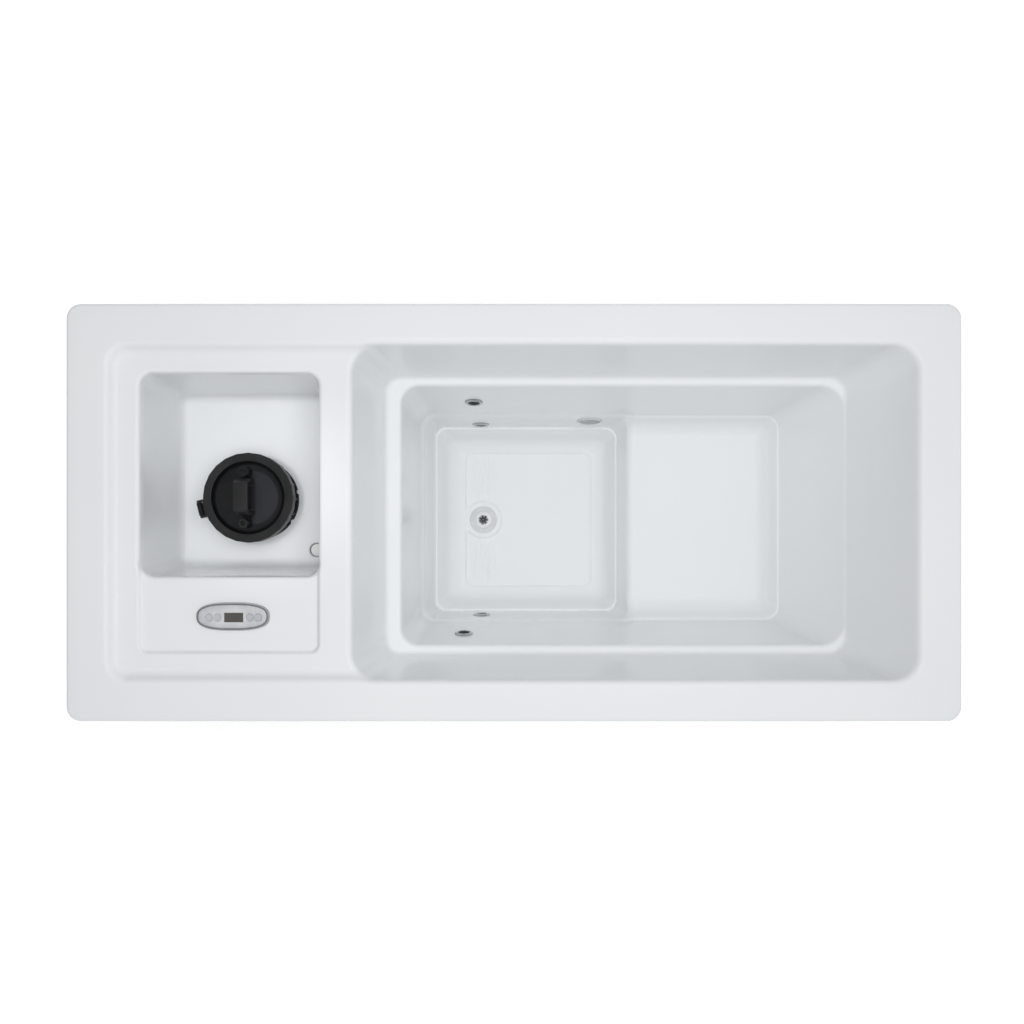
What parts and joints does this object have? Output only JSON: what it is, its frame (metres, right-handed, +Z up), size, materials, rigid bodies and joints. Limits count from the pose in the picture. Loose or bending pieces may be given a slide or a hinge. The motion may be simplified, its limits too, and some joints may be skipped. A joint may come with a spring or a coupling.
{
  "type": "cold plunge tub",
  "caption": "White acrylic cold plunge tub: stepped basin with seat, jets and drain, deck with filter canister and control panel, grey clad cabinet with a service door.",
  "frame": {"origin": "centre of the footprint, on the floor", "axes": "+X towards the backrest end along the tub's length, +Y across towards the rear side, +Z up"},
  "size_m": [2.1, 0.98, 0.86],
  "materials": {
    "acrylic": "high-gloss white acrylic",
    "timber": "planed, treated",
    "cladding": "fine wood-grain composite, satin",
    "trim": "satin",
    "base_tray": "textured",
    "fixings": "zinc plated",
    "hardware": "satin",
    "filter_body": "moulded, satin",
    "filter_ring": "moulded, satin",
    "filter_lid": "moulded, satin",
    "seal": "moulded",
    "filter_media": "pleated",
    "chrome": "polished",
    "panel_face": "silver, glossy",
    "panel_button": "silver, soft",
    "lcd": "dark window",
    "panel_box": "moulded",
    "plug": "glossy",
    "nozzle": "dark grey",
    "lens": "translucent grey",
    "fitting_body": "white",
    "drain_white": "glossy",
    "pump_plastic": "moulded",
    "motor": "painted",
    "sheet_metal": "powder coat",
    "compressor": "gloss black",
    "fins": "bare",
    "fan": "moulded",
    "pvc": "pipe",
    "valve": "cast",
    "lever": "coated",
    "exchanger": "moulded"
  },
  "bodies": {
    "tub": {"tub_shell": "acrylic", "base_pan": "base_tray", "base_frame": "timber", "frame_posts": "timber", "top_frame": "timber", "frame_bolts": "fixings", "shell_cradles": "timber", "front_panel": "cladding", "rear_panel": "cladding", "head_end_panel": "cladding", "service_end_panel": "cladding", "corner_trims": "trim", "panel_screws": "fixings", "door_hinges": "hardware", "vent_grilles": "trim", "filter_housing": "filter_body", "control_bezel": "chrome", "control_face": "panel_face", "control_display": "lcd", "control_housing": "panel_box", "pocket_plug": "plug", "jet_bodies": "fitting_body", "jet_ring_a": "chrome", "jet_ring_b": "chrome", "return_fitting": "chrome", "suction_fitting": "chrome", "light_lens": "lens", "light_housing": "fitting_body", "fitting_locknuts": "fitting_body", "drain_flange": "drain_white", "drain_strainer": "chrome", "drain_valve": "valve", "pump_volute": "pump_plastic", "pump_motor": "motor", "chiller_case": "sheet_metal", "chiller_compressor": "compressor", "chiller_condenser": "fins", "heat_exchanger": "exchanger", "water_pipes": "pvc", "control_box": "panel_box"},
    "door": {"service_door": "cladding", "door_leaves": "hardware"},
    "door_latch": {"door_latch": "trim"},
    "filter_lid": {"filter_lid": "filter_lid", "lid_handle": "filter_ring", "lid_o_ring": "seal", "lid_drain_plug": "filter_ring", "filter_cartridge": "filter_media"},
    "air_bleed_knob": {"air_bleed_knob": "filter_body"},
    "lock_ring": {"lock_ring": "filter_ring"},
    "lock_ring_latch": {"lock_ring_latch": "filter_body"},
    "button_pump": {"button_pump": "panel_button"},
    "button_light": {"button_light": "panel_button"},
    "button_down": {"button_down": "panel_button"},
    "button_up": {"button_up": "panel_button"},
    "jet_nozzle_a": {"jet_nozzle_a": "nozzle"},
    "jet_nozzle_b": {"jet_nozzle_b": "nozzle"},
    "drain_handle": {"drain_handle": "lever"},
    "pump_impeller": {"pump_impeller": "fitting_body"},
    "chiller_fan": {"chiller_fan": "fan"}
  },
  "joints": [
    {"name": "door_hinge", "type": "hinge", "parent": "tub", "child": "door", "pos_m": [-1.0433, 0.338, 0.415], "axis": [0, 0, -1], "range_deg": [0, 110]},
    {"name": "door_latch_turn", "type": "hinge", "parent": "door", "child": "door_latch", "pos_m": [-1.038, -0.3, 0.425], "axis": [1, 0, 0], "range_deg": [0, 90]},
    {"name": "lid_lift", "type": "slide", "parent": "tub", "child": "filter_lid", "axis": [0, 0, 1], "range_m": [0, 0.45]},
    {"name": "air_bleed_turn", "type": "hinge", "parent": "filter_lid", "child": "air_bleed_knob", "pos_m": [-0.66, 0.103, 0.745], "axis": [0, 0, 1], "range_deg": [0, 180]},
    {"name": "lock_ring_turn", "type": "hinge", "parent": "filter_lid", "child": "lock_ring", "pos_m": [-0.66, 0.041, 0.7], "axis": [0, 0, 1], "range_deg": [0, 60]},
    {"name": "ring_latch_flip", "type": "hinge", "parent": "lock_ring", "child": "lock_ring_latch", "pos_m": [-0.77766, 0.01275, 0.702], "axis": [-0.2334, 0.9724, 0], "range_deg": [0, 75]},
    {"name": "button_pump_press", "type": "slide", "parent": "tub", "child": "button_pump", "axis": [0, 0, -1], "range_m": [0, 0.0012], "stiffness_N_per_m": 800},
    {"name": "button_light_press", "type": "slide", "parent": "tub", "child": "button_light", "axis": [0, 0, -1], "range_m": [0, 0.0012], "stiffness_N_per_m": 800},
    {"name": "button_down_press", "type": "slide", "parent": "tub", "child": "button_down", "axis": [0, 0, -1], "range_m": [0, 0.0012], "stiffness_N_per_m": 800},
    {"name": "button_up_press", "type": "slide", "parent": "tub", "child": "button_up", "axis": [0, 0, -1], "range_m": [0, 0.0012], "stiffness_N_per_m": 800},
    {"name": "jet_nozzle_a_turn", "type": "hinge", "parent": "tub", "child": "jet_nozzle_a", "pos_m": [-0.1179, 0.30553, 0.466], "axis": [0, -0.9779, 0.209], "range_deg": [-90, 90]},
    {"name": "jet_nozzle_b_turn", "type": "hinge", "parent": "tub", "child": "jet_nozzle_b", "pos_m": [-0.1429, -0.3098, 0.486], "axis": [0, 0.9779, 0.209], "range_deg": [-90, 90]},
    {"name": "drain_lever_turn", "type": "hinge", "parent": "tub", "child": "drain_handle", "pos_m": [-0.935, 0, 0.11], "axis": [0, 0, -1], "range_deg": [0, 90]},
    {"name": "impeller_spin", "type": "hinge", "parent": "tub", "child": "pump_impeller", "pos_m": [-0.59, -0.29, 0.13], "axis": [1, 0, 0], "continuous": true},
    {"name": "fan_spin", "type": "hinge", "parent": "tub", "child": "chiller_fan", "pos_m": [-0.835, 0.358, 0.262], "axis": [0, 1, 0], "continuous": true}
  ]
}
